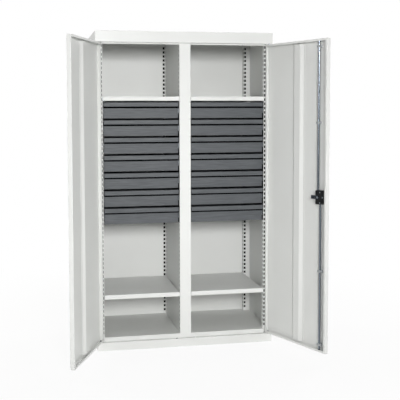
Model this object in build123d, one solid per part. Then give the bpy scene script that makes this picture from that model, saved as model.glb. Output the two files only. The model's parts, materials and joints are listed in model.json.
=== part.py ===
from build123d import *
import math
import os

os.makedirs("parts", exist_ok=True)

# Tool cabinet: a sheet steel carcass with two hinged doors and two bays. Each bay holds
# an open space, a shelf, a stack of drawers, a second open space, a shelf and a floor.
# Millimetres, +Z up, the front faces -Y. The origin is on the floor, at the centre of
# the base. Depths are counted back from the outer face of the closed doors.

# carcass
width = 1020
depth = 500
height = 1800
sheet = 1.5
header_height = 62
header_lip = 8
plinth_height = 47
floor_rise = 23
post_width = 64
stile_width = 42
upright_depth = 30
rear_upright_back = 5
strip_wide = 19
strip_deep = 7
support_width = 64
shelf_sheet = 1.2
fold_radius = 2
edge_radius = 1

# slots along the uprights and the centre partition, and how far in from its edge a row lies
slot_pitch = 25
slot_long = 15
slot_wide = 12
slot_in = 7
slot_start = 25
slot_end = 50

# doors, shown open
door_depth = 24
door_sheet = 1.2
door_gap = 2.5
door_meet = 3
door_side_gap = 0.5
door_lip = 12
door_open = 112
buffer_gap = 1.5
swing_clear = 1.8
edge_clear = 1.2

# hinge pins, measured from the hinge edge and the outer face of the door
pin_in = 17.5
pin_back = 12
pin_radius = 4
pin_reach = 10
pin_head_radius = 7
pin_head = 3
pin_washer = 2
running = 0.05
past = 1
plate_long = 36
plate_thick = 2

# folded stiffener down the middle of each door
stiff_centre = 262
stiff_top = 44
stiff_base = 84
stiff_high = 12
stiff_flange = 12
stiff_end = 16

# lock, rods and handle, measured from the hinge edge of the right door
spindle_in = 446
spindle_up = 890
spindle_radius = 4
rod_offset = 9
rod_radius = 6
rod_back = 13
rod_hole_clear = 1
ledge_hole_clear = 1.5
cam_radius = 13
cam_thick = 3
cam_back = 4
crank_pin_radius = 2.5
crank_pin_clear = 0.6
crank_throw = 10.2
rod_end_thick = 4
rod_end_lap = 2
hook_tip = 2.5
spindle_clear = 0.5
case_inner = 16.5
case_outer = 24
case_high = 75
case_deep = 25
case_wall = 1.2
case_corner = 4.5
tongue_long = 48
tongue_wide = 20
tongue_thick = 2.2
tongue_gap = 0.3
guide_wide = 22
guide_high = 12
guide_over = 1.6
guide_end = 40
guide_mid = 400
rose_radius = 24
rose_thick = 3
boss_radius = 14
boss_high = 24
grip_long = 84
grip_wide = 22
grip_thick = 12
cylinder_radius = 8
cylinder_long = 18
cylinder_proud = 1
key_slot_long = 9
key_slot_wide = 2
key_slot_deep = 4
turn_gap = 0.3

# shelves and the clips that carry them
lower_shelf_top = 312
shelf_high = 24
shelf_over_drawers = 5
shelf_side_gap = 2
shelf_front_gap = 1
shelf_rear_gap = 8
clip_wide = 16
clip_reach = 15
clip_high = 20

# drawers
drawer_count = 7
drawer_pitch = 100
drawer_top = 1408
drawer_sheet = 1.2
drawer_side_gap = 5
drawer_front_gap = 5
drawer_top_gap = 4
drawer_face_high = 90
pull_out = 18
pull_high = 24
pull_hem = 4
tray_gap = 14
tray_long = 400
tray_lift = 2
tray_side_high = 76
tray_back_high = 66
slide_high = 24
slide_thick = 8
slide_sheet = 1.5
slide_play = 0.3
slide_level = 48
frame_sheet = 1.2
rail_deep = 10
rail_start = 3
slide_start = 12
slide_long = 385

# places that follow from the sizes; a cut runs past its face by the value named past
front = -depth / 2
half = width / 2
side_in = half - sheet
bay_in = post_width / 2
bay_out = half - stile_width
bay_mid = (bay_in + bay_out) / 2
bay_half = (bay_out - bay_in) / 2
back_in = depth - sheet
top_in = height - sheet
header_under = height - header_height
floor_top = plinth_height + floor_rise
upper_shelf_top = drawer_top + shelf_over_drawers + shelf_high
recess = door_depth + buffer_gap
door_edge = half - door_side_gap
door_wide = door_edge - door_meet / 2
door_low = plinth_height + door_gap
door_high = header_under - door_gap
pin_x = door_edge - pin_in
swing = math.hypot(pin_in, max(pin_back, door_depth - pin_back))
stile_plane = pin_back + swing + swing_clear
side_reach = min(swing, side_in - pin_x)
side_front = max(recess, pin_back + math.sqrt(swing ** 2 - side_reach ** 2)) + edge_clear
slot_front = stile_plane + upright_depth / 2
rear_upright = back_in - rear_upright_back - upright_depth
slot_rear = rear_upright + upright_depth / 2


def block(x0, x1, d0, d1, z0, z1):
    # box between two x, two depths behind the front and two heights
    size = Solid.make_box(x1 - x0, d1 - d0, z1 - z0)
    return size.moved(Location((x0, front + d0, z0)))


def rod_z(x, d, z0, z1, radius):
    return Solid.make_cylinder(radius, z1 - z0, Plane((x, front + d, z0)))


def rod_d(x, z, d0, d1, radius):
    # round bar along the depth
    base = Plane((x, front + d0, z), x_dir=(1, 0, 0), z_dir=(0, 1, 0))
    return Solid.make_cylinder(radius, d1 - d0, base)


def slotted(corners, slots, placed, way):
    # plate drawn along a way, with an outline and slots; placed turns two numbers into a point
    a, b = slot_wide / 2, slot_long / 2
    holes = []
    for u, z in slots:
        around = [(u - a, z - b), (u + a, z - b), (u + a, z + b), (u - a, z + b)]
        holes.append(Wire.make_polygon([placed(*corner) for corner in around]))
    face = Face(Wire.make_polygon([placed(*corner) for corner in corners]), holes)
    return Solid.extrude(face, way)


def plate_yz(x0, x1, corners, slots):
    # plate across x, with its outline and slots given as depths and heights
    return slotted(corners, slots, lambda d, z: Vector(x0, front + d, z), Vector(x1 - x0, 0, 0))


def plate_xz(d0, d1, x0, x1, z0, z1, slots):
    # plate across the depth, with its slots given as x and heights
    corners = [(x0, z0), (x1, z0), (x1, z1), (x0, z1)]
    return slotted(corners, slots, lambda x, z: Vector(x, front + d0, z), Vector(0, d1 - d0, 0))


def profile_z(points, z0, z1):
    # closed outline of x and depth drawn up from z0 to z1
    wire = Wire.make_polygon([Vector(x, front + d, z0) for x, d in points])
    return Solid.extrude(Face(wire), Vector(0, 0, z1 - z0))


def profile_d(points, d0, d1):
    # closed outline of x and height drawn back from d0 to d1
    wire = Wire.make_polygon([Vector(x, front + d0, z) for x, z in points])
    return Solid.extrude(Face(wire), Vector(0, d1 - d0, 0))


def rounded(shape, radius, chosen):
    # rounds the edges whose middle passes the test, given as x, depth behind the front and z
    picked = []
    for edge in shape.edges():
        middle = edge @ 0.5
        if chosen(middle.X, middle.Y - front, middle.Z):
            picked.append(edge)
    return shape.fillet(radius, picked)


def same(a, b):
    return abs(a - b) < edge_radius / 2


def join(*shapes):
    first = shapes[0]
    return first.fuse(*shapes[1:]) if len(shapes) > 1 else first


def mirrored(shape):
    return shape.mirror(Plane.YZ)


def save(name, *shapes):
    solids = [solid for shape in shapes for solid in shape.solids()]
    result = solids[0] if len(solids) == 1 else Compound(solids)
    export_step(result, "parts/" + name + ".step")
    return solids


# carcass panels
side_outline = [
    (0, 0), (depth, 0), (depth, top_in), (0, top_in),
    (0, header_under), (side_front, header_under), (side_front, plinth_height), (0, plinth_height),
]
right_side = rounded(
    plate_yz(side_in, half, side_outline, []), edge_radius,
    lambda x, d, z: same(x, half) and (same(d, 0) or same(d, depth)),
)
save("right_side_panel", right_side)
save("left_side_panel", mirrored(right_side))
save("back_panel", block(-side_in, side_in, back_in, depth, 0, top_in))
save("top_panel", rounded(
    block(-half, half, 0, depth, top_in, height), edge_radius, lambda x, d, z: same(z, height),
))

# the rods of the lock enter the header and the plinth, which have holes on both sides
upper_rod_x = door_edge - spindle_in + rod_offset
lower_rod_x = door_edge - spindle_in - rod_offset
rod_hole = rod_radius + rod_hole_clear
ledge_hole = rod_radius + ledge_hole_clear


def ledge(z0, z1, rod_x):
    shelf = block(-side_in, side_in, 0, recess + sheet, z0, z1)
    for sign in (-1, 1):
        shelf = shelf.cut(rod_z(sign * pin_x, pin_back, z0 - past, z1 + past, pin_radius))
        shelf = shelf.cut(rod_z(sign * rod_x, rod_back, z0 - past, z1 + past, ledge_hole))
    return shelf


header = join(
    block(-side_in, side_in, 0, sheet, header_under, top_in),
    ledge(header_under, header_under + sheet, upper_rod_x),
    block(bay_in, bay_out, recess, recess + sheet, header_under - header_lip, header_under + sheet),
    block(-bay_out, -bay_in, recess, recess + sheet, header_under - header_lip, header_under + sheet),
)
save("header_rail", rounded(
    header, fold_radius, lambda x, d, z: same(d, 0) and same(z, header_under),
))
plinth = join(
    block(-side_in, side_in, 0, sheet, 0, plinth_height),
    ledge(plinth_height - sheet, plinth_height, lower_rod_x),
    block(-side_in, side_in, 0, recess + sheet, 0, sheet),
)
save("plinth", rounded(
    plinth, fold_radius, lambda x, d, z: same(d, 0) and same(z, plinth_height),
))

floor_parts = [
    block(-side_in, side_in, stile_plane, back_in, floor_top - sheet, floor_top),
    block(-bay_out, bay_out, recess, stile_plane, floor_top - sheet, floor_top),
    block(-bay_out, bay_out, recess, recess + sheet, plinth_height, floor_top),
]
for sign in (-1, 1):
    low, high = sorted((sign * bay_out, sign * side_in))
    floor_parts.append(block(low, high, stile_plane, stile_plane + sheet, plinth_height, floor_top))
    low, high = sorted((sign * bay_out, sign * (bay_out - sheet)))
    floor_parts.append(block(low, high, recess, stile_plane + sheet, plinth_height, floor_top))
save("floor_panel", join(*floor_parts))

support_half = support_width / 2
support = join(
    block(-support_half, support_half, recess + sheet, back_in, 0, sheet),
    block(-support_half, sheet - support_half, recess + sheet, back_in, 0, floor_top - sheet),
    block(support_half - sheet, support_half, recess + sheet, back_in, 0, floor_top - sheet),
)
save("floor_support", support)

# slot rows, counted up from the floor and ending below the top
slot_heights = []
slot_z = floor_top + slot_start
while slot_z < top_in - slot_end:
    slot_heights.append(slot_z)
    slot_z += slot_pitch

skin_outline = [
    (recess, floor_top), (back_in, floor_top), (back_in, top_in),
    (recess + sheet, top_in), (recess + sheet, header_under), (recess, header_under),
]
skin_slots = [(d, z) for z in slot_heights for d in (slot_front, slot_rear)]
right_skin = plate_yz(bay_in - sheet, bay_in, skin_outline, skin_slots)
partition = join(
    right_skin,
    mirrored(right_skin),
    block(-bay_in, bay_in, recess, recess + sheet, floor_top, header_under),
    block(-bay_in, bay_in, back_in - sheet, back_in, floor_top, top_in),
)
save("centre_partition", partition)


def upright(d0, slot_depth):
    # slots in the web carry the shelves, and a second row is in the flange that faces the front
    d1 = d0 + upright_depth
    outline = [(d0, floor_top), (d1, floor_top), (d1, top_in), (d0, top_in)]
    row = bay_out + sheet + slot_in
    return join(
        plate_yz(bay_out, bay_out + sheet, outline, [(slot_depth, z) for z in slot_heights]),
        plate_xz(d0, d0 + sheet, bay_out, side_in, floor_top, top_in, [(row, z) for z in slot_heights]),
        block(bay_out, side_in, d1 - sheet, d1, floor_top, top_in),
    )


# slotted strip in each corner between the centre partition and the back panel
strip_front = back_in - strip_deep
strip_edge = bay_in + strip_wide
corner_strip = join(
    plate_xz(
        strip_front, strip_front + sheet, bay_in, strip_edge, floor_top, top_in,
        [(strip_edge - sheet - slot_in, z) for z in slot_heights],
    ),
    block(strip_edge - sheet, strip_edge, strip_front, back_in, floor_top, top_in),
)
right_uprights = [upright(stile_plane, slot_front), upright(rear_upright, slot_rear), corner_strip]
save("shelf_uprights", *right_uprights, *[mirrored(u) for u in right_uprights])

# shelves: folded trays, face down, on clips at the slot rows
shelf_low, shelf_high_x = bay_in + shelf_side_gap, bay_out - shelf_side_gap
shelf_front = recess + shelf_front_gap
shelf_back = back_in - sheet - shelf_rear_gap


def shelf(top):
    body = block(shelf_low, shelf_high_x, shelf_front, shelf_back, top - shelf_high, top)
    inner = block(
        shelf_low + shelf_sheet, shelf_high_x - shelf_sheet,
        shelf_front + shelf_sheet, shelf_back - shelf_sheet,
        top - shelf_high - past, top - shelf_sheet,
    )
    return rounded(body.cut(inner), fold_radius, lambda x, d, z: same(z, top))


clips = []
for name, top in (("upper_shelf", upper_shelf_top), ("lower_shelf", lower_shelf_top)):
    right_shelf = shelf(top)
    save(name + "_right", right_shelf)
    save(name + "_left", mirrored(right_shelf))
    under = top - shelf_high
    for d in (slot_front, slot_rear):
        d0, d1 = d - clip_wide / 2, d + clip_wide / 2
        for wall, into in ((bay_in, 1), (bay_out, -1)):
            tab = sorted((wall, wall + into * sheet))
            seat = sorted((wall, wall + into * clip_reach))
            clip = join(
                block(*tab, d0, d1, under - sheet, under + clip_high),
                block(*seat, d0, d1, under - sheet, under),
            )
            clips += [clip, mirrored(clip)]
save("shelf_clips", *clips)


# doors: folded pans, built closed at the right and swung about the pins
def door_block(s0, s1, t0, t1, z0, z1):
    return block(door_edge - s1, door_edge - s0, t0, t1, z0, z1)


def door_pan(locked):
    pan = door_block(0, door_wide, 0, door_depth, door_low, door_high)
    pan = pan.fillet(fold_radius, pan.edges())
    pan = pan.cut(door_block(
        door_sheet, door_wide - door_sheet, door_sheet, door_depth - door_sheet,
        door_low + door_sheet, door_high - door_sheet,
    ))
    pan = pan.cut(door_block(
        door_lip, door_wide - door_lip, door_depth - 2 * door_sheet, door_depth + past,
        door_low + door_lip, door_high - door_lip,
    ))
    for z in (door_low, door_high):
        pan = pan.cut(rod_z(pin_x, pin_back, z - 2 * door_sheet, z + 2 * door_sheet, pin_radius + running))
    if locked:
        pan = pan.cut(rod_z(upper_rod_x, rod_back, door_high - 2 * door_sheet, door_high + past, rod_hole))
        pan = pan.cut(rod_z(lower_rod_x, rod_back, door_low - past, door_low + 2 * door_sheet, rod_hole))
        pan = pan.cut(rod_d(spindle_x, spindle_up, -past, 2 * door_sheet, spindle_radius + running))
    return pan


spindle_x = door_edge - spindle_in
web = (stiff_base - stiff_top) / 2
lean = door_sheet * math.hypot(web, stiff_high - door_sheet) / (stiff_high - door_sheet)
s_low, s_high = stiff_centre - stiff_base / 2, stiff_centre + stiff_base / 2
t_low, t_high = door_sheet, door_sheet + stiff_high
fold_low = s_low + web + (lean - door_sheet) / 2
fold_high = s_high - web - (lean - door_sheet) / 2
stiff_outline = [
    (s_low - stiff_flange, t_low), (s_low + lean / 2, t_low),
    (fold_low + lean / 2, t_high - door_sheet), (fold_high - lean / 2, t_high - door_sheet),
    (s_high - lean / 2, t_low), (s_high + stiff_flange, t_low),
    (s_high + stiff_flange, t_low + door_sheet), (s_high + lean / 2, t_low + door_sheet),
    (fold_high + lean / 2, t_high), (fold_low - lean / 2, t_high),
    (s_low - lean / 2, t_low + door_sheet), (s_low - stiff_flange, t_low + door_sheet),
]
stiffener = profile_z(
    [(door_edge - s, t) for s, t in stiff_outline], door_low + stiff_end, door_high - stiff_end
)

hinge_plates = []
for low, high in (
    (door_low + door_sheet, door_low + door_sheet + plate_thick),
    (door_high - door_sheet - plate_thick, door_high - door_sheet),
):
    plate = door_block(door_sheet, plate_long, door_sheet, door_depth - door_sheet, low, high)
    hinge_plates.append(plate.cut(rod_z(pin_x, pin_back, low - past, high + past, pin_radius + running)))


def swung(shape, sign):
    pivot = Axis((sign * pin_x, front + pin_back, 0), (0, 0, 1))
    return shape.rotate(pivot, sign * door_open)


def save_door(name, *shapes):
    save(name, *[swung(shape, 1) for shape in shapes])


save_door("right_door_panel", door_pan(True))
save("left_door_panel", swung(mirrored(door_pan(False)), -1))
save_door("right_door_stiffener", stiffener)
save("left_door_stiffener", swung(mirrored(stiffener), -1))
save_door("right_hinge_plates", *hinge_plates)
save("left_hinge_plates", *[swung(mirrored(plate), -1) for plate in hinge_plates])

# hinge pins, riveted in the header and the plinth, with a washer collar under each door
pins = []
for x in (-pin_x, pin_x):
    pins.append(join(
        rod_z(x, pin_back, door_high - pin_reach, header_under + sheet + pin_head / 2, pin_radius),
        rod_z(x, pin_back, header_under + sheet, header_under + sheet + pin_head, pin_head_radius),
        rod_z(x, pin_back, header_under - pin_washer, header_under, pin_head_radius),
    ))
    under = plinth_height - sheet
    pins.append(join(
        rod_z(x, pin_back, under - pin_head / 2, door_low + pin_reach, pin_radius),
        rod_z(x, pin_back, under - pin_head, under, pin_head_radius),
        rod_z(x, pin_back, plinth_height, plinth_height + pin_washer, pin_head_radius),
    ))
save("hinge_pins", *pins)

# lock case on the inner face and a rose on the outer face of the right door
case_low, case_top = spindle_up - case_high / 2, spindle_up + case_high / 2
case_back = door_sheet + case_deep
def case_block(wall, d0, d1):
    # block with round corners, a wall's thickness inside the outline of the case
    body = block(
        spindle_x - case_outer + wall, spindle_x + case_inner - wall, d0, d1,
        case_low + wall, case_top - wall,
    )
    return body.fillet(case_corner - wall, body.edges().filter_by(Axis.Y))


case = case_block(0, door_sheet, case_back)
case = case.cut(case_block(case_wall, door_sheet - past, case_back - case_wall))
spindle_hole = spindle_radius + running
rod_bore = rod_radius + running
case = case.cut(rod_d(spindle_x, spindle_up, case_back - 2 * case_wall, case_back + past, spindle_hole))
case = case.cut(rod_z(upper_rod_x, rod_back, spindle_up, case_top + past, rod_bore))
case = case.cut(rod_z(lower_rod_x, rod_back, case_low - past, spindle_up, rod_bore))
rose = rod_d(spindle_x, spindle_up, -rose_thick, 0, rose_radius)
rose = rose.cut(rod_d(spindle_x, spindle_up, -rose_thick - past, past, spindle_hole))
save_door("lock_case", case, rose)

# cam on its spindle: two crank pins move the rods, and a tongue turns over the case
crank_side = crank_throw * math.cos(math.pi / 4)
crank_rise = crank_throw * math.sin(math.pi / 4)
tongue_front = case_back + tongue_gap
cam = join(
    rod_d(spindle_x, spindle_up, -rose_thick - turn_gap, tongue_front + tongue_thick / 2, spindle_radius),
    rod_d(spindle_x, spindle_up, cam_back, cam_back + cam_thick, cam_radius),
    rod_d(
        spindle_x + crank_side, spindle_up - crank_rise,
        cam_back, rod_back + rod_end_thick / 2, crank_pin_radius,
    ),
    rod_d(
        spindle_x - crank_side, spindle_up + crank_rise,
        cam_back, rod_back + rod_end_thick / 2, crank_pin_radius,
    ),
    rod_d(spindle_x, spindle_up, tongue_front, tongue_front + tongue_thick, tongue_wide / 2),
    block(
        spindle_x, spindle_x + tongue_long, tongue_front, tongue_front + tongue_thick,
        spindle_up - tongue_wide / 2, spindle_up + tongue_wide / 2,
    ),
)
save_door("lock_cam", cam)

# rods: round bars with a flat notched end that the crank pin moves in
notch_half = crank_pin_radius + crank_pin_clear


def rod(sign, z_far):
    x = spindle_x + sign * rod_offset
    z_pin = spindle_up - sign * crank_rise
    inner = spindle_x + sign * (spindle_radius + spindle_clear)
    outer = x + sign * rod_radius
    ends = sorted((z_pin - sign * (notch_half + hook_tip), spindle_up + sign * (case_high / 4)))
    low, high = sorted((inner, outer))
    t0, t1 = rod_back - rod_end_thick / 2, rod_back + rod_end_thick / 2
    end = block(low, high, t0, t1, *ends)
    notch = sorted((inner - sign * past, spindle_x + sign * (crank_throw + notch_half)))
    end = end.cut(block(*notch, t0 - past, t1 + past, z_pin - notch_half, z_pin + notch_half))
    bar_ends = sorted((spindle_up + sign * (case_high / 4 - rod_end_lap), z_far))
    return join(rod_z(x, rod_back, *bar_ends, rod_radius), end)


save_door("upper_lock_rod", rod(1, door_high))
save_door("lower_lock_rod", rod(-1, door_low))

guides = []
for x, z in (
    (upper_rod_x, door_high - guide_end), (upper_rod_x, spindle_up + guide_mid),
    (lower_rod_x, door_low + guide_end), (lower_rod_x, spindle_up - guide_mid),
):
    guide = block(
        x - guide_wide / 2, x + guide_wide / 2, door_sheet, rod_back + rod_radius + guide_over,
        z - guide_high / 2, z + guide_high / 2,
    )
    guides.append(guide.cut(rod_z(x, rod_back, z - guide_high, z + guide_high, rod_bore)))
save_door("rod_guides", *guides)

# outer handle: a boss and a cross grip, with the key cylinder in its middle
boss_front = -rose_thick - turn_gap - boss_high
grip_end = grip_long / 2 - grip_wide / 2
handle = join(
    rod_d(spindle_x, spindle_up, boss_front, -rose_thick - turn_gap, boss_radius),
    block(
        spindle_x - grip_wide / 2, spindle_x + grip_wide / 2, boss_front, boss_front + grip_thick,
        spindle_up - grip_end, spindle_up + grip_end,
    ),
    rod_d(spindle_x, spindle_up - grip_end, boss_front, boss_front + grip_thick, grip_wide / 2),
    rod_d(spindle_x, spindle_up + grip_end, boss_front, boss_front + grip_thick, grip_wide / 2),
)
handle = handle.cut(
    rod_d(spindle_x, spindle_up, boss_front - past, boss_front + cylinder_long, cylinder_radius + running)
)
save_door("door_handle", handle)
cylinder_back = boss_front + cylinder_long - running
cylinder = rod_d(spindle_x, spindle_up, boss_front - cylinder_proud, cylinder_back, cylinder_radius)
cylinder = cylinder.cut(block(
    spindle_x - key_slot_wide / 2, spindle_x + key_slot_wide / 2,
    boss_front - cylinder_proud - past, boss_front - cylinder_proud + key_slot_deep,
    spindle_up - key_slot_long / 2, spindle_up + key_slot_long / 2,
))
save_door("lock_cylinder", cylinder)

# drawers: a folded tray with a recessed face and a pull across its whole top edge
pull_front = recess + drawer_front_gap
face_front = pull_front + pull_out
face_half = bay_half - drawer_side_gap
tray_half = bay_half - tray_gap


def drawer(top):
    face_top = top - drawer_top_gap
    face_low = face_top - drawer_face_high
    tray_low = face_low + tray_lift
    x0, x1 = bay_mid - face_half, bay_mid + face_half
    tray = block(
        bay_mid - tray_half, bay_mid + tray_half, face_front, face_front + tray_long,
        tray_low, tray_low + tray_side_high,
    )
    tray = tray.cut(block(
        bay_mid - tray_half + drawer_sheet, bay_mid + tray_half - drawer_sheet,
        face_front + drawer_sheet, face_front + tray_long - drawer_sheet,
        tray_low + drawer_sheet, top,
    ))
    tray = tray.cut(block(
        bay_mid - tray_half + drawer_sheet, bay_mid + tray_half - drawer_sheet,
        face_front + tray_long / 2, face_front + tray_long + past,
        tray_low + tray_back_high, top,
    ))
    body = join(
        tray,
        block(x0, x1, face_front, face_front + drawer_sheet, face_low, face_top),
        block(x0, x1, pull_front, face_front + drawer_sheet, face_top - drawer_sheet, face_top),
        block(x0, x1, pull_front, pull_front + drawer_sheet, face_top - pull_high, face_top),
        block(
            x0, x1, pull_front, pull_front + pull_hem,
            face_top - pull_high, face_top - pull_high + drawer_sheet,
        ),
    )
    return rounded(
        body, fold_radius,
        lambda x, d, z: same(d, pull_front) and (same(z, face_top) or same(z, face_top - pull_high)),
    )


def channel(x_web, x_tip, thick, half_high, z, d0, d1):
    # C section with its web at x_web and its flanges reaching to x_tip
    inward = math.copysign(thick, x_tip - x_web)
    points = [
        (x_web, z - half_high), (x_tip, z - half_high), (x_tip, z - half_high + thick),
        (x_web + inward, z - half_high + thick), (x_web + inward, z + half_high - thick),
        (x_tip, z + half_high - thick), (x_tip, z + half_high), (x_web, z + half_high),
    ]
    return profile_d(points, d0, d1)


# side plates of the drawer stacks, fixed to the uprights, and the rails on them
stack_low = drawer_top - (drawer_count - 1) * drawer_pitch - drawer_top_gap - drawer_face_high
frames = []
for wall, into in ((bay_in, 1), (bay_out, -1)):
    sides = sorted((wall, wall + into * frame_sheet))
    frame = block(*sides, stile_plane, strip_front, stack_low, drawer_top)
    frames += [frame, mirrored(frame)]
save("drawer_frames", *frames)

rails = []
rail_half = slide_high / 2 + slide_play + slide_sheet
for index in range(drawer_count):
    top = drawer_top - index * drawer_pitch
    level = top - drawer_top_gap - slide_level
    slide_d = face_front + slide_start
    pair = []
    for sign in (-1, 1):
        tray_side = bay_mid + sign * tray_half
        pair.append(channel(
            tray_side, tray_side + sign * slide_thick, slide_sheet, slide_high / 2,
            level, slide_d, slide_d + slide_long,
        ))
        wall = bay_mid + sign * bay_half
        rail = channel(
            wall - sign * frame_sheet, wall - sign * rail_deep, slide_sheet, rail_half,
            level, face_front + rail_start, strip_front,
        )
        rails += [rail, mirrored(rail)]
    body = drawer(top)
    number = str(index + 1)
    save("drawer_right_" + number, body)
    save("drawer_left_" + number, mirrored(body))
    save("drawer_slides_right_" + number, *pair)
    save("drawer_slides_left_" + number, *[mirrored(piece) for piece in pair])
save("cabinet_rails", *rails)
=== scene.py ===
import json
import math

import bmesh
import bpy
from mathutils import Matrix, Vector


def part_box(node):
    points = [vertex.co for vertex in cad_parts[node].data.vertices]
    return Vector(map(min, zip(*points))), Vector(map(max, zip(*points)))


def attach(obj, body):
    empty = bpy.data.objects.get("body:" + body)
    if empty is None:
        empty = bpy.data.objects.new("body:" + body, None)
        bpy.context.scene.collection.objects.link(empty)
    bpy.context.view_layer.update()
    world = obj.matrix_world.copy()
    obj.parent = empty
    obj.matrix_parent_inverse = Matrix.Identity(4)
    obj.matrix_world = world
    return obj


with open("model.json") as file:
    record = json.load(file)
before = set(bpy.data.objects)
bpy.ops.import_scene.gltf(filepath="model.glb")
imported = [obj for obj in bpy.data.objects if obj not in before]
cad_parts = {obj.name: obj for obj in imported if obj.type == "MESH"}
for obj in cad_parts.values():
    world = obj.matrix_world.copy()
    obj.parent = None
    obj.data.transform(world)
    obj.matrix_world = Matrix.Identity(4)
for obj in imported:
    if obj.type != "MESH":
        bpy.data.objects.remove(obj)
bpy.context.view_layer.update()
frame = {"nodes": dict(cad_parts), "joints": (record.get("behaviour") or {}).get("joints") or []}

print("cabinet loaded with", len(frame["nodes"]), "nodes")


def millimetres(value):
    return value / 1000


def jointNamed(name):
    return next(joint for joint in frame["joints"] if joint["name"] == name)


def linearColour(hexCode):
    # sRGB hex to the linear values that the shaders take
    values = [int(hexCode[i:i + 2], 16) / 255 for i in (1, 3, 5)]
    return [v / 12.92 if v <= 0.04045 else ((v + 0.055) / 1.055) ** 2.4 for v in values] + [1]


def addNode(tree, kind, settings=None, links=None):
    # one node with its settings and the outputs that feed it
    node = tree.nodes.new(kind)
    for name, value in (settings or {}).items():
        if isinstance(name, int) or name in node.inputs:
            node.inputs[name].default_value = value
        else:
            setattr(node, name, value)
    for name, source in (links or {}).items():
        tree.links.new(source, node.inputs[name])
    return node


def startMaterial(name):
    material = bpy.data.materials.new(name)
    material.use_nodes = True
    tree = material.node_tree
    tree.nodes.clear()
    place = addNode(tree, "ShaderNodeTexCoord").outputs["Object"]
    return material, tree, place


def finishMaterial(tree, shader):
    addNode(tree, "ShaderNodeOutputMaterial", links={"Surface": shader.outputs[0]})


# Powder coat on sheet steel. The body of the cabinet has a smooth semi-gloss coat and the
# drawers a dark one with a fine grit and faint streaks in it. Sheet steel is never quite
# flat, so its reflections waver slowly.
bodyPaint = {
    "colour": "#E1E2E0",
    "cloudColour": "#DCDDDA",
    "cloudMm": (260, 260, 260),
    "roughness": 0.46,
    "roughnessSpread": 0.07,
    "peelMm": 4,  # real orange peel is nearer 1.5 mm, drawn coarser so that it shows
    "peelHeightMm": 0.012,
    "sheetWaveMm": 380,
    "sheetWaveHeightMm": 0.5,
    "coat": 0.05,
    "sheen": 0.5,
}
drawerPaint = {
    "colour": "#5B5F63",
    "cloudColour": "#373A3D",
    "cloudMm": (80, 90, 6),  # streaks along the drawers, nearer 3 mm high, drawn coarser to show
    "roughness": 0.52,
    "roughnessSpread": 0.08,
    "peelMm": 2.6,  # the grit is nearer 0.6 mm, drawn coarser so that it shows
    "peelHeightMm": 0.05,
    "sheetWaveMm": 300,
    "sheetWaveHeightMm": 0.25,
    "coat": 0.0,
    "sheen": 0.5,
}
# the plates beside the drawers have the same coat in black
framePaint = {**drawerPaint, "colour": "#17191A", "cloudColour": "#131516"}

# Painted shade: inside the uprights, the corner strips, the partition and the plinth the coat
# is painted a dark, dull colour, so that the slots and holes look dark like shaded hollows.
# Each space is given by how far it lies from the middle of the cabinet, how far
# behind the closed doors and how high.
hollowShadePaint = {
    "colour": "#1D201F",
    "spacesMm": {
        "frontUpright": {"across": (469.4, 508.6), "deep": (36.4, 63.6), "high": (0.2, 1799)},
        "rearUpright": {"across": (469.4, 508.6), "deep": (464.9, 492.1), "high": (0.2, 1799)},
        "cornerStrip": {"across": (31.9, 49.6), "deep": (492.9, 498.6), "high": (0.2, 1799)},
        "partition": {"across": (-30.6, 30.6), "deep": (36.4, 498.6), "high": (0.2, 1799)},
        "plinth": {"across": (-508.6, 508.6), "deep": (1.4, 498.6), "high": (0.2, 45.6)},
    },
}
hingeDeepMm = 12  # the hinges lie this far behind the closed doors
doorPlane = jointNamed("right_door_swing")["pos_m"][1] - millimetres(hingeDeepMm)

# The pocket behind each drawer's pull is painted dark in the same way, down to just below the pull, as
# painted shade under the pull.
pullPocketShade = {"colour": "#0C0D0E", "deepMm": (31.9, 48.8), "belowTopMm": (1.4, 33.5)}
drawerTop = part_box("drawer_right_1")[1][2]
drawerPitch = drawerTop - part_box("drawer_right_2")[1][2]


def hollowShadeShare(tree, place):
    # 1 where a point lies in one of the painted-shade spaces, and 0 elsewhere
    mirrored = addNode(tree, "ShaderNodeVectorMath", {"operation": "ABSOLUTE"}, {0: place})
    signed = addNode(tree, "ShaderNodeSeparateXYZ", {}, {0: place})
    apart = {
        "across": addNode(tree, "ShaderNodeSeparateXYZ", {}, {0: mirrored.outputs[0]}).outputs["X"],
        "deep": signed.outputs["Y"],
        "high": signed.outputs["Z"],
    }
    startOf = {"across": 0.0, "deep": doorPlane, "high": 0.0}
    spacesBefore = {}  # the first space has none before it
    for space in hollowShadePaint["spacesMm"].values():
        inside = {}
        for word in ("across", "deep", "high"):
            low, high = (millimetres(value) + startOf[word] for value in space[word])
            inside[word] = addNode(tree, "ShaderNodeMath", {
                "operation": "COMPARE", 1: (low + high) / 2, 2: (high - low) / 2,
            }, {0: apart[word]}).outputs[0]
        onPlan = addNode(tree, "ShaderNodeMath", {"operation": "MULTIPLY"}, {
            0: inside["across"], 1: inside["deep"],
        })
        inSpace = addNode(tree, "ShaderNodeMath", {"operation": "MULTIPLY"}, {
            0: onPlan.outputs[0], 1: inside["high"],
        })
        share = addNode(tree, "ShaderNodeMath", {"operation": "MAXIMUM", 1: 0.0}, {
            0: inSpace.outputs[0], **spacesBefore,
        })
        spacesBefore = {1: share.outputs[0]}
    return share.outputs[0]


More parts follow.
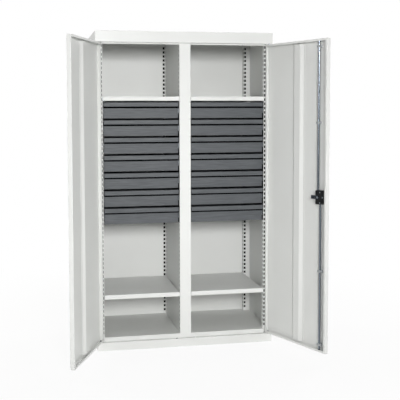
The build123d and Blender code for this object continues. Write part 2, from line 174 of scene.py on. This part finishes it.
def pocketShadeShare(tree, place):
    # 1 in the painted-shade pockets behind the pulls, which repeat down the stack
    apart = addNode(tree, "ShaderNodeSeparateXYZ", {}, {0: place})
    low, high = (millimetres(value) + doorPlane for value in pullPocketShade["deepMm"])
    deep = addNode(tree, "ShaderNodeMath", {
        "operation": "COMPARE", 1: (low + high) / 2, 2: (high - low) / 2,
    }, {0: apart.outputs["Y"]})
    below = addNode(tree, "ShaderNodeMath", {"operation": "SUBTRACT", 0: drawerTop}, {
        1: apart.outputs["Z"],
    })
    inDrawer = addNode(tree, "ShaderNodeMath", {"operation": "FLOORED_MODULO", 1: drawerPitch}, {
        0: below.outputs[0],
    })
    low, high = (millimetres(value) for value in pullPocketShade["belowTopMm"])
    level = addNode(tree, "ShaderNodeMath", {
        "operation": "COMPARE", 1: (low + high) / 2, 2: (high - low) / 2,
    }, {0: inDrawer.outputs[0]})
    share = addNode(tree, "ShaderNodeMath", {"operation": "MULTIPLY"}, {
        0: deep.outputs[0], 1: level.outputs[0],
    })
    return share.outputs[0]


def powderCoat(name, paint):
    material, tree, place = startMaterial(name)
    scaled = addNode(tree, "ShaderNodeMapping", {
        "Scale": [1 / millimetres(value) for value in paint["cloudMm"]],
    }, {"Vector": place})
    cloud = addNode(tree, "ShaderNodeTexNoise", {
        "Scale": 1.0, "Detail": 3.0, "Roughness": 0.55,
    }, {"Vector": scaled.outputs["Vector"]})
    colour = addNode(tree, "ShaderNodeMix", {
        "data_type": "RGBA", 6: linearColour(paint["colour"]), 7: linearColour(paint["cloudColour"]),
    }, {0: cloud.outputs["Fac"]})
    # painted shade: the body's hollows and the pockets behind the pulls are mixed to a dark colour
    shaded = hollowShadeShare(tree, place) if paint is bodyPaint else pocketShadeShare(tree, place)
    shadeColour = hollowShadePaint["colour"] if paint is bodyPaint else pullPocketShade["colour"]
    colour = addNode(tree, "ShaderNodeMix", {
        "data_type": "RGBA", 7: linearColour(shadeColour),
    }, {0: shaded, 6: colour.outputs[2]})
    gloss = addNode(tree, "ShaderNodeMapRange", {
        "From Min": 0.3, "From Max": 0.7,
        "To Min": paint["roughness"] - paint["roughnessSpread"] / 2,
        "To Max": paint["roughness"] + paint["roughnessSpread"] / 2,
    }, {"Value": cloud.outputs["Fac"]})
    peel = addNode(tree, "ShaderNodeTexNoise", {
        "Scale": 1 / millimetres(paint["peelMm"]), "Detail": 2.0,
    }, {"Vector": place})
    wave = addNode(tree, "ShaderNodeTexNoise", {
        "Scale": 1 / millimetres(paint["sheetWaveMm"]), "Detail": 1.0,
    }, {"Vector": place})
    waveBump = addNode(tree, "ShaderNodeBump", {
        "Strength": 1.0, "Distance": millimetres(paint["sheetWaveHeightMm"]),
    }, {"Height": wave.outputs["Fac"]})
    peelBump = addNode(tree, "ShaderNodeBump", {
        "Strength": 1.0, "Distance": millimetres(paint["peelHeightMm"]),
    }, {"Height": peel.outputs["Fac"], "Normal": waveBump.outputs["Normal"]})
    # the painted-shade places have no sheen either, which keeps them dark
    sheen = addNode(tree, "ShaderNodeMapRange", {
        "To Min": paint["sheen"], "To Max": 0.0,
    }, {"Value": shaded})
    shader = addNode(tree, "ShaderNodeBsdfPrincipled", {
        "Metallic": 0.0, "IOR": 1.5, "Coat Weight": paint["coat"], "Coat Roughness": 0.18,
    }, {
        "Base Color": colour.outputs[2],
        "Specular IOR Level": sheen.outputs["Result"],
        "Roughness": gloss.outputs["Result"],
        "Normal": peelBump.outputs["Normal"],
    })
    finishMaterial(tree, shader)
    return material


# Zinc plated mild steel: a metal with a faint blue cast, and fine lines along the way it
# was drawn or rolled. The lock rods are given a darker zinc than the strip parts, a painted
# shade for the dark surroundings they reflect.
shadedBlueZinc = {
    "colour": "#868D96",
    "lineColour": "#6A717A",
    "roughness": 0.2,
    "roughnessSpread": 0.08,
    "lineMm": 1.5,
    "lineStretch": 60,
    "lineHeightMm": 0.01,
}
brightZinc = {
    "colour": "#BCC2C9",
    "lineColour": "#9AA1A9",
    "roughness": 0.3,
    "roughnessSpread": 0.16,
    "lineMm": 1.5,
    "lineStretch": 60,
    "lineHeightMm": 0.01,
}


def zincPlatedSteel(name, along, zinc):
    # the lines run along the given axis
    material, tree, place = startMaterial(name)
    fine = 1 / millimetres(zinc["lineMm"])
    stretch = [fine, fine, fine]
    stretch["XYZ".index(along)] = fine / zinc["lineStretch"]
    scaled = addNode(tree, "ShaderNodeMapping", {"Scale": stretch}, {"Vector": place})
    lines = addNode(tree, "ShaderNodeTexNoise", {
        "Scale": 1.0, "Detail": 4.0, "Roughness": 0.6,
    }, {"Vector": scaled.outputs["Vector"]})
    colour = addNode(tree, "ShaderNodeMix", {
        "data_type": "RGBA", 6: linearColour(zinc["colour"]), 7: linearColour(zinc["lineColour"]),
    }, {0: lines.outputs["Fac"]})
    gloss = addNode(tree, "ShaderNodeMapRange", {
        "From Min": 0.3, "From Max": 0.7,
        "To Min": zinc["roughness"] - zinc["roughnessSpread"] / 2,
        "To Max": zinc["roughness"] + zinc["roughnessSpread"] / 2,
    }, {"Value": lines.outputs["Fac"]})
    bump = addNode(tree, "ShaderNodeBump", {
        "Strength": 1.0, "Distance": millimetres(zinc["lineHeightMm"]),
    }, {"Height": lines.outputs["Fac"]})
    shader = addNode(tree, "ShaderNodeBsdfPrincipled", {"Metallic": 1.0}, {
        "Base Color": colour.outputs[2],
        "Roughness": gloss.outputs["Result"],
        "Normal": bump.outputs["Normal"],
    })
    finishMaterial(tree, shader)
    return material


# Moulded plastics: black glass-filled nylon for the lock, grey nylon for the guides.
blackNylon = {
    "colour": "#0A0B0D",
    "worn": "#121416",
    "roughness": 0.38,
    "specular": 0.3,
    "grainMm": 1.6,
    "grainHeightMm": 0.02,
}
greyNylon = {
    "colour": "#A3A7AA",
    "worn": "#9B9FA2",
    "roughness": 0.48,
    "specular": 0.5,
    "grainMm": 2.0,
    "grainHeightMm": 0.02,
}


def mouldedNylon(name, plastic):
    material, tree, place = startMaterial(name)
    grain = addNode(tree, "ShaderNodeTexNoise", {
        "Scale": 1 / millimetres(plastic["grainMm"]), "Detail": 2.0,
    }, {"Vector": place})
    colour = addNode(tree, "ShaderNodeMix", {
        "data_type": "RGBA", 6: linearColour(plastic["colour"]), 7: linearColour(plastic["worn"]),
    }, {0: grain.outputs["Fac"]})
    bump = addNode(tree, "ShaderNodeBump", {
        "Strength": 1.0, "Distance": millimetres(plastic["grainHeightMm"]),
    }, {"Height": grain.outputs["Fac"]})
    shader = addNode(tree, "ShaderNodeBsdfPrincipled", {
        "Metallic": 0.0, "IOR": 1.53, "Specular IOR Level": plastic["specular"],
        "Roughness": plastic["roughness"],
    }, {"Base Color": colour.outputs[2], "Normal": bump.outputs["Normal"]})
    finishMaterial(tree, shader)
    return material


# Nickel plated brass for the key cylinder, turned, so it has rings too fine to see apart.
nickel = {"colour": "#D3CFC6", "ringColour": "#BDB8AD", "ringMm": 1.2, "roughness": 0.22}


def nickelPlatedBrass(name):
    material, tree, place = startMaterial(name)
    rings = addNode(tree, "ShaderNodeTexNoise", {
        "Scale": 1 / millimetres(nickel["ringMm"]), "Detail": 3.0,
    }, {"Vector": place})
    colour = addNode(tree, "ShaderNodeMix", {
        "data_type": "RGBA", 6: linearColour(nickel["colour"]), 7: linearColour(nickel["ringColour"]),
    }, {0: rings.outputs["Fac"]})
    shader = addNode(tree, "ShaderNodeBsdfPrincipled", {
        "Metallic": 1.0, "Roughness": nickel["roughness"],
    }, {"Base Color": colour.outputs[2]})
    finishMaterial(tree, shader)
    return material


bodyCoat = powderCoat("semiGlossPowderCoat", bodyPaint)
drawerCoat = powderCoat("fineGritPowderCoat", drawerPaint)
frameCoat = powderCoat("blackPowderCoat", framePaint)
rodZinc = zincPlatedSteel("blueZincPlatedBar", "Z", shadedBlueZinc)
slideZinc = zincPlatedSteel("zincPlatedStrip", "Y", brightZinc)
screwZinc = zincPlatedSteel("zincPlatedScrew", "Z", brightZinc)
lockNylon = mouldedNylon("blackMouldedNylon", blackNylon)
guideNylon = mouldedNylon("greyMouldedNylon", greyNylon)
cylinderNickel = nickelPlatedBrass("nickelPlatedBrass")

finishOfNode = {
    "upper_lock_rod": rodZinc,
    "lower_lock_rod": rodZinc,
    "lock_cam": rodZinc,
    "hinge_pins": rodZinc,
    "shelf_clips": slideZinc,
    "cabinet_rails": slideZinc,
    "lock_case": lockNylon,
    "door_handle": lockNylon,
    "rod_guides": guideNylon,
    "lock_cylinder": cylinderNickel,
}


def finishFor(name):
    if name.startswith("drawer_slides"):
        return slideZinc
    if name == "drawer_frames":
        return frameCoat
    if name.startswith("drawer_"):
        return drawerCoat
    return finishOfNode.get(name, bodyCoat)


for name, node in frame["nodes"].items():
    for slot in node.material_slots:
        slot.material = finishFor(name)
print("finishes given")


# Screws of the lock, placed from the handle's joint: inward along the spindle from the outer
# face of the door, along the door towards its free edge, and up.
spindle = jointNamed("handle_turn")
spindlePlace = Vector(spindle["pos_m"])
inward = Vector(spindle["axis"])
freeWay = Matrix.Rotation(math.pi / 2, 3, "Z") @ inward
lockScrew = {
    "caseFaceMm": 26.2,
    "tongueFaceMm": 28.7,
    "caseEdgeMm": 24,
    "coverUpMm": 28,
    "coverFreeMm": 17.5,  # clear of the tongue when it is turned up
    "sideDeepMm": 14,
    "radiusMm": 4.2,
    "highMm": 1.3,
    "camRadiusMm": 6.5,
    "camHighMm": 1.2,
    "socketShare": 0.45,
    "edgeMm": 0.5,
    "sides": 28,
    "sharpDegrees": 35,
}


def screwPiece(name, shape, body):
    # a mesh from a bmesh, finished and fixed to a body of the cabinet
    mesh = bpy.data.meshes.new(name)
    shape.to_mesh(mesh)
    shape.free()
    mesh.materials.append(screwZinc)
    piece = bpy.data.objects.new(name, mesh)
    bpy.context.scene.collection.objects.link(piece)
    for face in mesh.polygons:
        face.use_smooth = True
    mesh.set_sharp_from_angle(angle=math.radians(lockScrew["sharpDegrees"]))
    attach(piece, body)


def screwHead(name, place, way, radius, high, body):
    # low round head with a socket, standing on a face at the given place
    socket = radius * lockScrew["socketShare"]
    edge = millimetres(lockScrew["edgeMm"])
    outline = [
        (socket, high / 2), (socket, high), (radius - edge, high), (radius, high - edge), (radius, 0.0),
    ]
    turn = way.to_track_quat("Z", "Y").to_matrix()
    shape = bmesh.new()
    rings = []
    for reach, up in outline:
        ring = []
        for index in range(lockScrew["sides"]):
            angle = 2 * math.pi * index / lockScrew["sides"]
            point = Vector((reach * math.cos(angle), reach * math.sin(angle), up))
            ring.append(shape.verts.new(place + turn @ point))
        rings.append(ring)
    shape.faces.new(rings[0])
    for inner, outer in zip(rings, rings[1:]):
        for index in range(lockScrew["sides"]):
            after = (index + 1) % lockScrew["sides"]
            shape.faces.new((inner[index], outer[index], outer[after], inner[after]))
    shape.faces.new(list(reversed(rings[-1])))
    bmesh.ops.recalc_face_normals(shape, faces=shape.faces)
    screwPiece(name, shape, body)


def onDoor(freeMm, inMm, upMm):
    away = freeWay * millimetres(freeMm) + inward * millimetres(inMm)
    return spindlePlace + away + Vector((0, 0, millimetres(upMm)))


for word, side in (("upper", 1), ("lower", -1)):
    screwHead(
        word + "_case_screw",
        onDoor(lockScrew["coverFreeMm"], lockScrew["caseFaceMm"], side * lockScrew["coverUpMm"]),
        inward, millimetres(lockScrew["radiusMm"]), millimetres(lockScrew["highMm"]), "right_door",
    )
screwHead(
    "side_case_screw", onDoor(lockScrew["caseEdgeMm"], lockScrew["sideDeepMm"], 0),
    freeWay, millimetres(lockScrew["radiusMm"]), millimetres(lockScrew["highMm"]), "right_door",
)
screwHead(
    "cam_screw", onDoor(0, lockScrew["tongueFaceMm"], 0),
    inward, millimetres(lockScrew["camRadiusMm"]), millimetres(lockScrew["camHighMm"]), "handle",
)
print("lock screws made")

# the floor, pale, and white where it runs away from the cabinet
floor = {"colour": "#F4F4F3", "size": 14.0, "clearFrom": 0.9, "clearTo": 2.4, "nearWhite": 0.9}


def makeFloor():
    half = floor["size"] / 2
    shape = bmesh.new()
    corners = [shape.verts.new((x * half, y * half, 0)) for x, y in ((-1, -1), (1, -1), (1, 1), (-1, 1))]
    shape.faces.new(corners)
    mesh = bpy.data.meshes.new("studioFloor")
    shape.to_mesh(mesh)
    shape.free()
    piece = bpy.data.objects.new("studioFloor", mesh)
    bpy.context.scene.collection.objects.link(piece)
    material, tree, place = startMaterial("mattStudioFloor")
    away = addNode(tree, "ShaderNodeVectorMath", {"operation": "LENGTH"}, {0: place})
    fade = addNode(tree, "ShaderNodeMapRange", {
        "interpolation_type": "SMOOTHSTEP", "From Min": floor["clearFrom"], "From Max": floor["clearTo"],
        "To Min": floor["nearWhite"], "To Max": 1.0,
    }, {"Value": away.outputs["Value"]})
    rays = addNode(tree, "ShaderNodeLightPath")
    seen = addNode(tree, "ShaderNodeMath", {"operation": "MAXIMUM"}, {
        0: rays.outputs["Is Camera Ray"], 1: rays.outputs["Is Glossy Ray"],
    })
    share = addNode(tree, "ShaderNodeMath", {"operation": "MULTIPLY"}, {
        0: fade.outputs["Result"], 1: seen.outputs["Value"],
    })
    paper = addNode(tree, "ShaderNodeBsdfDiffuse", {"Color": linearColour(floor["colour"])})
    white = addNode(tree, "ShaderNodeEmission", {"Strength": 1.0})
    mixed = addNode(tree, "ShaderNodeMixShader", {}, {
        0: share.outputs["Value"], 1: paper.outputs[0], 2: white.outputs[0],
    })
    finishMaterial(tree, mixed)
    mesh.materials.append(material)


makeFloor()

# soft studio light: a dim even surround, a narrow lamp behind the camera that reaches into the
# bays, a weak one higher up for the header, one straight over the top, a lamp on each side for
# the inner faces of the doors, and two behind for the outside
studio = {"surround": 0.17, "aim": (0.0, -0.25, 0.8)}
studioLamps = {
    "frontLamp": {"place": (-0.3, -6.0, 2.1), "size": 1.1, "power": 26, "spreadDegrees": 60},
    "topLamp": {"place": (0.0, -2.1, 3.3), "size": 2.0, "power": 4},
    "overheadLamp": {"place": (0.0, 0.2, 4.4), "size": 1.2, "power": 26},
    "leftLamp": {"place": (-3.7, -2.7, 1.7), "size": 2.2, "power": 34},
    "rightLamp": {"place": (3.7, -2.9, 1.6), "size": 2.2, "power": 34},
    "rearLeftLamp": {"place": (-3.6, 2.4, 2.2), "size": 2.2, "power": 86},
    "rearRightLamp": {"place": (3.6, 2.4, 2.2), "size": 2.2, "power": 86},
}


def makeLamp(name, settings):
    lamp = bpy.data.lights.new(name, "AREA")
    lamp.shape = "SQUARE"
    lamp.size = settings["size"]
    lamp.energy = settings["power"]
    lamp.spread = math.radians(settings.get("spreadDegrees", 180))
    piece = bpy.data.objects.new(name, lamp)
    piece.location = settings["place"]
    way = Vector(studio["aim"]) - Vector(settings["place"])
    piece.rotation_euler = way.to_track_quat("-Z", "Y").to_euler()
    bpy.context.scene.collection.objects.link(piece)


for name, settings in studioLamps.items():
    makeLamp(name, settings)


def makeSurround():
    world = bpy.data.worlds.new("studioSurround")
    bpy.context.scene.world = world
    world.use_nodes = True
    tree = world.node_tree
    tree.nodes.clear()
    rays = addNode(tree, "ShaderNodeLightPath")
    seen = addNode(tree, "ShaderNodeMath", {"operation": "MAXIMUM"}, {
        0: rays.outputs["Is Camera Ray"], 1: rays.outputs["Is Transmission Ray"],
    })
    strength = addNode(tree, "ShaderNodeMapRange", {"To Min": studio["surround"], "To Max": 1.0}, {
        "Value": seen.outputs["Value"],
    })
    light = addNode(tree, "ShaderNodeBackground", {"Color": (1, 1, 1, 1)}, {
        "Strength": strength.outputs["Result"],
    })
    addNode(tree, "ShaderNodeOutputWorld", links={"Surface": light.outputs[0]})


makeSurround()
print("floor and lamps made")

# the photograph's camera, as fitted to the cabinet's corners and edges
photoCamera = {
    "place": (-0.8656, -4.5597, 1.3523),
    "turn": -0.19035,
    "tilt": -0.06261,
    "roll": -0.00305,
    "lensMm": 69.74,
    "sensorMm": 36,
    "shift": (0.05, -0.10),
    "clipEnd": 60,
}


def makeCamera():
    lens = bpy.data.cameras.new("photoCamera")
    lens.lens = photoCamera["lensMm"]
    lens.sensor_width = photoCamera["sensorMm"]
    lens.shift_x, lens.shift_y = photoCamera["shift"]
    lens.clip_end = photoCamera["clipEnd"]
    piece = bpy.data.objects.new("photoCamera", lens)
    turn = Matrix.Rotation(photoCamera["turn"], 4, "Z")
    tilt = Matrix.Rotation(math.pi / 2 + photoCamera["tilt"], 4, "X")
    roll = Matrix.Rotation(photoCamera["roll"], 4, "Z")
    piece.matrix_world = Matrix.Translation(photoCamera["place"]) @ turn @ tilt @ roll
    bpy.context.scene.collection.objects.link(piece)
    bpy.context.scene.camera = piece


makeCamera()
bpy.context.scene.view_settings.view_transform = "Standard"

print("scene ready")
